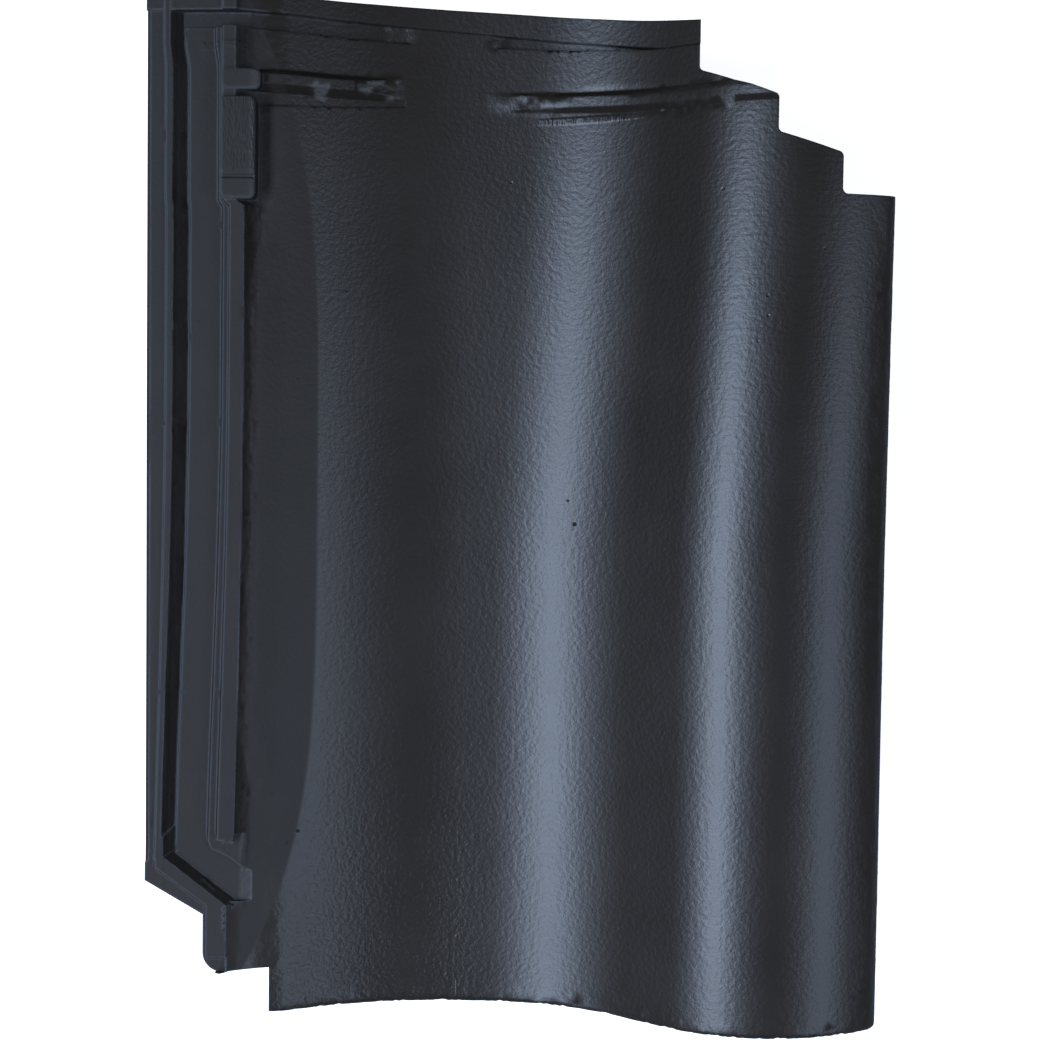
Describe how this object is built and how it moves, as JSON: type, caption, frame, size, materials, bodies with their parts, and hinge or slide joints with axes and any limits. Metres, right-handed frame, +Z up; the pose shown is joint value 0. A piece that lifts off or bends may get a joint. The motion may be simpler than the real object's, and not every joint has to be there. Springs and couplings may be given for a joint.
{
  "type": "clay roof tile",
  "caption": "Interlocking clay pantile with a wide pan and one roll, a side lock and head lock on top, a cover lip, stepped corners and nibs underneath.",
  "frame": {"origin": "centre of the tile's box at the level of the floor it lies on", "axes": "+Y from the foot to the head, +X across to the covering roll, +Z up"},
  "size_m": [0.2644, 0.3691, 0.0756],
  "materials": {
    "fired_clay": "matt black engobe with a soft sheen over fired clay"
  },
  "bodies": {
    "root": {"roof_tile": "fired_clay"}
  },
  "joints": []
}
